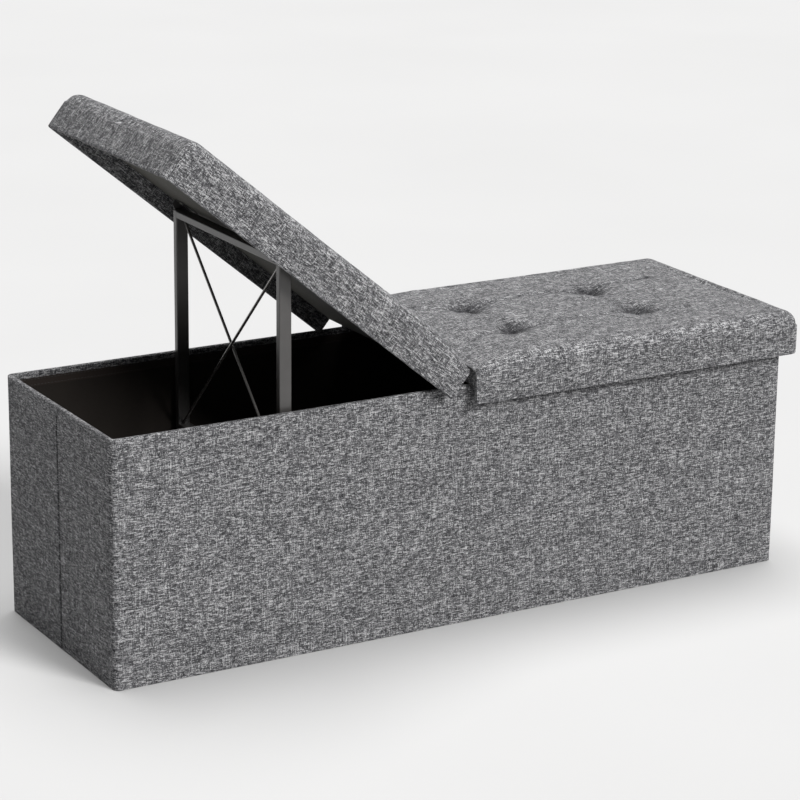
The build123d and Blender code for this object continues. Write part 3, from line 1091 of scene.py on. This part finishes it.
    def blow_up(self, pad: bpy.types.Object) -> None:
        """Swells the cloth against its tufts and its nailed edges."""
        places = points_of(pad)
        hold = np.zeros(len(places))
        for away in self.from_tufts(places):
            near = (away < 7 * MM) & (places[:, 2] > -6 * MM)
            places[near, 2] = self.tuft_bottom
            hold[near] = 1.0
        hold[places[:, 2] < -9.0 * MM] = 1.0
        hold = np.maximum(hold, (1.0 - ramp_up(places[:, 0], 4 * MM, 16 * MM)))
        set_points(pad, places)
        group = pad.vertex_groups.new(name="held")
        for index, weight in enumerate(hold):
            if weight > 0:
                group.add([index], float(weight), "REPLACE")
        activate(pad)
        cloth = pad.modifiers.new("Swell", "CLOTH")
        for key, value in {
            "quality": 6, "mass": 0.25, "tension_stiffness": 12, "compression_stiffness": 12,
            "shear_stiffness": 6, "bending_stiffness": 1.5, "use_pressure": True,
            "uniform_pressure_force": 5.0, "shrink_min": -0.02, "vertex_group_mass": group.name,
        }.items():
            setattr(cloth.settings, key, value)
        cloth.settings.effector_weights.gravity = 0.0
        scene = bpy.context.scene
        scene.frame_start, scene.frame_end = 1, self.swell_frames
        for step in range(1, self.swell_frames + 1):
            scene.frame_set(step)
        bpy.ops.object.modifier_apply(modifier=cloth.name)
        scene.frame_set(1)
        pad.vertex_groups.clear()

    def cap(self, pad: bpy.types.Object, before: np.ndarray) -> None:
        """Keeps the swollen cloth near its start, under the crown and clear of the other half."""
        places = points_of(pad)
        moved = places - before
        far = np.linalg.norm(moved, axis=1)
        share = np.where(far > self.farthest, self.farthest / np.maximum(far, 1e-9), 1.0)
        places = before + moved * share[:, None]
        ceiling = np.minimum(self.crown, 0.8 * MM + 0.17 * np.maximum(places[:, 0], 0.0))
        ease = 1.5 * MM
        over = places[:, 2] > ceiling - ease
        soft = ceiling - ease + ease * np.tanh((places[:, 2] - ceiling + ease) / ease)
        places[:, 2] = np.where(over, soft, places[:, 2])
        places[:, 0] = np.maximum(places[:, 0], self.near - 0.2 * MM)
        set_points(pad, places)

    def pull_cloth(self, pad: bpy.types.Object) -> None:
        """Adds the tension folds: a fan round each tuft and long ridges beside the fold."""
        places = points_of(pad)
        top = ramp_up(places[:, 2], -6 * MM, 0.0)
        lift = np.zeros(len(places))
        for turn, (out, side) in enumerate(self.tufts()):
            dx, dy = places[:, 0] - out, places[:, 1] - side
            away = np.hypot(dx, dy)
            angle = np.arctan2(dy, dx)
            fan = np.cos(6 * angle + 1.3 * turn) * 0.6 + np.cos(4 * angle + 2.1 * turn) * 0.4
            lift += self.fan_height * fan * bell(away - self.fan_radius, self.fan_width)
        lift += self.valleys(places)
        for start, lean, width, height in (
            (24, 0.10, 5.0, 1.1), (41, 0.16, 6.0, 1.3), (58, 0.05, 7.0, 1.0), (83, 0.20, 8.0, 1.1)
        ):
            wander = 6 * MM * cloud(places * np.array([0, 1, 0]), 0.11, start)
            line = start * MM + lean * places[:, 1] + wander
            fade = 0.5 + 0.5 * cloud(places * np.array([0, 1, 0]), 0.14, 3.7 * start)
            lift += height * MM * fade * bell(places[:, 0] - line, width * MM)
        lift += 0.5 * MM * cloud(places, 0.035, 8.0)
        places[:, 2] += lift * top * ramp_up(places[:, 0], 4 * MM, 30 * MM)
        limit = self.clear_slope * np.maximum(places[:, 0], 0.0) - self.clear_drop
        places[:, 2] = np.minimum(places[:, 2], limit)
        set_points(pad, places)

    def valleys(self, places: np.ndarray) -> np.ndarray:
        """The bowed valleys from tuft to tuft and out from each, with a ridge beside each."""
        near, far = self.tufts_out
        side = self.tufts_side
        lines = (
            ((near, side), (far, side), 9.0), ((near, -side), (far, -side), -7.0),
            ((near, side), (near, -side), 8.0), ((far, side), (far, -side), -12.0),
            ((far, side), (far + 0.11, side + 0.012), 4.0),
            ((far, -side), (far + 0.07, -side - 0.03), -5.0),
            ((near, side), (near - 0.07, side + 0.03), 4.0),
            ((near, -side), (near - 0.07, -side - 0.02), -4.0),
        )
        lift = np.zeros(len(places))
        for (x0, y0), (x1, y1), bow in lines:
            length = math.hypot(x1 - x0, y1 - y0)
            ux, uy = (x1 - x0) / length, (y1 - y0) / length
            dx, dy = places[:, 0] - x0, places[:, 1] - y0
            share = np.clip((dx * ux + dy * uy) / length, 0.0, 1.0)
            past = np.abs((dx * ux + dy * uy) / length - share) * length
            off = dy * ux - dx * uy - bow * MM * np.sin(math.pi * share)
            fade = bell(past, 8 * MM) * (0.55 + 0.45 * np.cos(math.pi * share) ** 2)
            lift -= self.valley_depth * fade * bell(off, self.valley_width)
            beside = off - math.copysign(self.ridge_off, bow)
            lift += self.ridge_height * fade * bell(beside, self.ridge_width)
        return lift

    def square_up(self, pad: bpy.types.Object) -> None:
        """Brings the sides of the pad to the outline of the skirts, and keeps all of it inside."""
        places = points_of(pad)
        hold = 1.0 - ramp_up(places[:, 2], -9 * MM, -1 * MM)
        centre_x, centre_y = self.length - self.corner, self.half_width - self.corner
        over_x = np.maximum(places[:, 0] - centre_x, 0.0)
        over_y = np.maximum(np.abs(places[:, 1]) - centre_y, 0.0)
        reach = np.hypot(over_x, over_y)
        outer = reach > 0.6 * self.corner
        share = np.where(outer, self.corner / np.maximum(reach, 1e-9), 1.0)
        hold = np.where(reach > self.corner, 1.0, hold)
        share = 1.0 + (share - 1.0) * hold
        places[:, 0] = np.where(over_x > 0, centre_x + over_x * share, places[:, 0])
        side = np.sign(places[:, 1])
        places[:, 1] = np.where(over_y > 0, side * (centre_y + over_y * share), places[:, 1])
        set_points(pad, places)

    def drawn_in(self, place: Vector, step: float) -> Vector:
        """A plan point moved in from the outer edge by a step, square to the edge there."""
        centre_x, centre_y = self.length - self.corner, self.half_width - self.corner
        over_x = max(place.x - centre_x, 0.0)
        over_y = max(abs(place.y) - centre_y, 0.0)
        reach = math.hypot(over_x, over_y)
        if reach < 1e-9:
            return place
        share = max(reach - step, 0.0) / reach
        side = math.copysign(1.0, place.y)
        x = centre_x + over_x * share if over_x > 0 else place.x
        y = side * (centre_y + over_y * share) if over_y > 0 else place.y
        return Vector((x, y, place.z))

    def add_skirts(self, pad: bpy.types.Object) -> None:
        """Draws the cloth down the outside of the skirts, under their hem and up their inside."""
        start, floor = self.board_top + 2 * MM, self.underside
        skirt_line = self.skirt_start
        profile = [(0.0, z * MM) for z in (-28.5, -32.5, -36.5, -40.5, -44.0, -47.0, -49.3)]
        profile += [(0.5 * MM, self.hem + 0.5 * MM), (1.7 * MM, self.hem)]
        profile += [(4.5 * MM, self.hem), (5.7 * MM, self.hem + 0.5 * MM)]
        profile += [(self.skirt_thick, z * MM) for z in (-49.3, -44.0, -38.0, -31.0)]
        profile += [(self.skirt_thick, floor)]
        with Bench(pad) as bench:
            bench.cut((0, 0, start), (0, 0, 1), Cut.ABOVE)
            bench.cut((skirt_line, 0, 0), (1, 0, 0))
            bench.pick(Element.EDGE, lambda e: e.is_boundary)
            for height in (-17.0 * MM, -21.0 * MM, floor):
                bench.extrude()
                bench.move_picked(lambda co, z=height: Vector((co.x, co.y, z)))
            bench.pick(Element.EDGE, lambda e: e.is_boundary and beyond(e, 0, skirt_line - 1e-5))
            inset = 0.0
            for target, height in profile:
                bench.extrude()
                step = target - inset
                inset = target
                bench.move_picked(
                    lambda co, s=step, z=height: self.drawn_in(Vector((co.x, co.y, z)), s)
                )
            self.close_ends(bench)
            bench.pick(Element.EDGE, lambda e: e.is_boundary)
            bpy.ops.mesh.edge_face_add()
            bench.recalculate()
        places, normals = points_of(pad), points_of(pad, "normal")
        hang = ramp_up(-places[:, 2], 24 * MM, 46 * MM)
        sway = 0.9 * MM * cloud(places, 0.11, 5.0) + 0.35 * MM * cloud(places, 0.035, 7.0)
        side_on = 1.0 - np.abs(normals[:, 2])
        direction = np.zeros_like(places)
        direction[:, 1] = np.where(
            np.abs(places[:, 1]) > self.half_width - self.corner, np.sign(places[:, 1]), 0.0
        )
        direction[:, 0] = (places[:, 0] > self.length - self.corner).astype(float)
        places += direction * (sway * hang * np.clip(side_on + 0.5, 0, 1))[:, None]
        set_points(pad, places)

    def close_ends(self, bench: Bench) -> None:
        """Closes the cut ends of the front and rear skirts, beside the fold."""
        for side in (-1, 1):
            limit = self.skirt_start + 6 * MM
            bench.pick(
                Element.EDGE,
                lambda e, s=side: e.is_boundary
                and all(v.co.x < limit and v.co.y * s > self.half_width - 7 * MM for v in e.verts)
                and any(v.co.z < self.underside - 1e-5 for v in e.verts),
            )
            bpy.ops.mesh.edge_face_add()


@dataclass
class LidHalf:
    """One half of the lid: upholstery, lining and the cloth that runs into the fold."""

    side: str
    wardrobe: Wardrobe
    shape: PadShape
    to_frame: Matrix = field(init=False)

    def __post_init__(self) -> None:
        """Works out the half's own frame from its hinge."""
        hinge = next(j for j in frame["joints"] if j["name"] == f"{self.side}_lid_hinge")
        fold = Vector(hinge["pos_m"])
        if self.side == "left":
            angle = math.radians(-hinge["range_deg"][0])
            out = Vector((-math.cos(angle), 0, math.sin(angle)))
            up = Vector((math.sin(angle), 0, math.cos(angle)))
        else:
            out, up = Vector((1, 0, 0)), Vector((0, 0, 1))
        across = up.cross(out)
        turn = Matrix((out, across, up)).transposed().to_4x4()
        self.to_frame = Matrix.Translation(fold) @ turn

    @property
    def body(self) -> str:
        """The body that the half rides on."""
        return f"lid_{self.side}"

    def put(self, piece: bpy.types.Object) -> None:
        """Moves a piece from the half's own frame to its place on the bench."""
        piece.data.transform(self.to_frame)
        piece.data.update()

    def build(self, template: bpy.types.Object) -> None:
        """Makes every piece of the half.

        Args:
            template: the padded top, in a half's own frame.
        """
        self.upholstery(template)
        self.lining()
        self.fold_cloth()
        self.hem_stitches()

    def upholstery(self, template: bpy.types.Object) -> None:
        """The padded top with its skirts."""
        piece = template.copy()
        piece.data = template.data.copy()
        bpy.context.scene.collection.objects.link(piece)
        piece.name = f"{self.side}_lid_upholstery"
        piece.data.name = piece.name
        self.put(piece)
        dress(piece, self.wardrobe.slots["upholstery"])
        settle(
            piece, self.body,
            [f"{self.side}_seat_pad", f"{self.side}_skirt_cover"],
        )

    def lining(self) -> None:
        """The sheet under the seat board, a little slack in its middle."""
        shape = self.shape
        thick = 0.9 * MM
        inner = shape.half_width - shape.skirt_thick + 0.3 * MM
        far = shape.length - shape.skirt_thick + 0.3 * MM
        near = 4.0 * MM
        bottom = -26.0 * MM
        name = f"{self.side}_underside_lining"
        piece = block(name, (near, -inner, bottom), (far, inner, bottom + thick))
        with Bench(piece) as bench:
            bench.pick(Element.EDGE, lambda e: beyond(e, 0, far - 1e-5) and span(e, 2) > 0.5 * MM)
            bench.bevel(6 * MM, 4)
            bench.grid(0, np.linspace(near + 6 * MM, far - 8 * MM, 36))
            bench.grid(1, np.linspace(-inner + 8 * MM, inner - 8 * MM, 26))
        places = points_of(piece)
        centre = ramp_up(inner - 0.055 - np.abs(places[:, 1]), 0.0, 0.06)
        centre *= ramp_up(places[:, 0], 0.03, 0.12) * ramp_up(far - places[:, 0], 0.03, 0.12)
        places[:, 2] -= centre * 1.0 * MM * (1.0 + 0.6 * cloud(places, 0.07, 12.0))
        set_points(piece, places)
        smooth(piece, 40.0)
        lay_weave(piece, Wrap.AROUND)
        self.put(piece)
        dress(piece, self.wardrobe.underside)
        settle(piece, self.body, [f"{self.side}_lid_lining"])

    def fold_cloth(self) -> None:
        """The strip of cloth from this half's pad down into the fold."""
        shape = self.shape
        half = shape.half_width - 1.2 * MM
        thick = 1.0 * MM
        profile = ((0.15, -1.0), (1.2, -0.7), (2.4, -0.1), (4.0, 0.35), (6.5, 0.3), (10.0, -0.6))
        low, high = (0.15 * MM, -half, -1.0 * MM - thick), (10 * MM, half, -1.0 * MM)
        piece = block(f"{self.side}_fold_cloth", low, high)
        with Bench(piece) as bench:
            bench.grid(0, [x * MM for x, _ in profile[1:-1]])
            bench.grid(1, np.linspace(-half + 4 * MM, half - 4 * MM, 60))
        places = points_of(piece)
        rise = np.interp(places[:, 0] / MM, [x for x, _ in profile], [z for _, z in profile])
        places[:, 2] += (rise + 1.0) * MM
        pucker = 0.3 * MM * cloud(places * np.array([0, 1, 0]), 0.012, 2.0)
        places[:, 2] += pucker * ramp_up(places[:, 0], 0.5 * MM, 3 * MM)
        set_points(piece, places)
        smooth(piece, 60.0)
        lay_weave(piece, Wrap.OVER)
        self.put(piece)
        dress(piece, self.wardrobe.slots["upholstery"])
        self.body
        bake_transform(piece)
        if self.side == "left":
            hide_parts("fold_piping")
        LOG.info("%s bends between lid_fold and %s", piece.name, self.body)

    def hem_stitches(self) -> None:
        """A row of stitches along the hem, on the three outer faces of the skirt."""
        shape = self.shape
        height = shape.hem + 9.5 * MM
        face = shape.half_width + 0.05 * MM
        near, far = 10 * MM, shape.length - shape.corner
        rows = []
        for side in (-1, 1):
            start = Vector((near, side * face, height))
            rows.append(stitch_row("hem_stitches", start, Vector((1, 0, 0)), far - near, 5.5 * MM))
        start = Vector((shape.length + 0.05 * MM, -shape.half_width + shape.corner, height))
        reach = 2 * (shape.half_width - shape.corner)
        rows.append(stitch_row("hem_stitches", start, Vector((0, 1, 0)), reach, 5.5 * MM))
        piece = join(f"{self.side}_hem_stitches", rows)
        self.put(piece)
        dress(piece, self.wardrobe.grey_thread)
        settle(piece, self.body)


# ---- the studio ---------------------------------------------------------------------------
@dataclass
class Studio:
    """Floor, lights and camera."""

    azimuth: float = -30.15
    elevation: float = 16.89
    roll: float = 0.0107
    distance: float = 3.989
    lens: float = 134.6
    target: tuple = (-0.1179, -0.1921, 0.3456)
    sky: float = 0.13
    front_from: tuple = (0.30, -0.78, 0.54)
    front_power: float = 3.6
    front_width: float = 20.0                   # how wide the light looks, in degrees
    top_from: tuple = (0.06, 0.16, 1.0)
    top_power: float = 3.45
    top_width: float = 40.0

    def build(self) -> None:
        """Sets everything up."""
        self.floor()
        self.lights()
        self.camera()

    def floor(self) -> None:
        """A pale floor that reaches past the horizon of every view."""
        floor = block("studio_floor", (-40, -40, -0.05), (40, 40, 0.0))
        with Bench(floor) as bench:
            bench.pick(Element.EDGE, lambda e: beyond(e, 2, -1e-5))
            bench.bevel(0.04, 3)
        dress(floor, StudioFloor().material())

    def lights(self) -> None:
        """A light above the front, a broader one overhead, and a faint sky."""
        world = bpy.data.worlds.new("studio_sky")
        world.use_nodes = True
        sky = world.node_tree.nodes["Background"]
        sky.inputs["Color"].default_value = (0.95, 0.97, 1.0, 1.0)
        sky.inputs["Strength"].default_value = self.sky
        bpy.context.scene.world = world
        self.panel("front_light", self.front_from, self.front_power, self.front_width)
        self.panel("top_light", self.top_from, self.top_power, self.top_width)

    def panel(self, name: str, source: Sequence[float], power: float, width: float) -> None:
        """Adds one soft, even light.

        Args:
            name: the light's name.
            source: the direction that it comes from.
            power: its strength.
            width: how wide it looks from the bench, in degrees.
        """
        data = bpy.data.lights.new(name, "SUN")
        data.angle = math.radians(width)
        data.energy = power
        data.color = (1.0, 0.995, 0.99)
        light = bpy.data.objects.new(name, data)
        bpy.context.scene.collection.objects.link(light)
        light.rotation_euler = (-Vector(source)).to_track_quat("-Z", "Y").to_euler()

    def camera(self) -> None:
        """A long lens at the front left, a little above the lid."""
        azimuth, elevation = math.radians(self.azimuth), math.radians(self.elevation)
        back = Vector(
            (
                math.sin(azimuth) * math.cos(elevation),
                -math.cos(azimuth) * math.cos(elevation),
                math.sin(elevation),
            )
        )
        right = (-back).cross(Vector((0, 0, 1))).normalized()
        up = right.cross(-back)
        cos, sin = math.cos(self.roll), math.sin(self.roll)
        right, up = cos * right + sin * up, -sin * right + cos * up
        data = bpy.data.cameras.new("studio_camera")
        data.lens = self.lens
        data.clip_end = 50.0
        camera = bpy.data.objects.new("studio_camera", data)
        bpy.context.scene.collection.objects.link(camera)
        turn = Matrix((right, up, back)).transposed().to_4x4()
        camera.matrix_world = Matrix.Translation(Vector(self.target) + back * self.distance) @ turn
        bpy.context.scene.camera = camera
        bpy.context.scene.view_settings.view_transform = "Standard"


def main() -> None:
    """Builds the bench and its studio."""
    logging.basicConfig(level=logging.INFO, format="%(name)s: %(message)s")
    wardrobe = Wardrobe()
    wardrobe.dress_nodes()
    Studio().build()
    StorageBox(wardrobe).build()
    shape = PadShape()
    template = shape.build()
    for side in ("left", "right"):
        LidHalf(side, wardrobe, shape).build(template)
    bpy.data.objects.remove(template)
    bpy.ops.object.select_all(action="DESELECT")


if __name__ == "__main__":
    main()
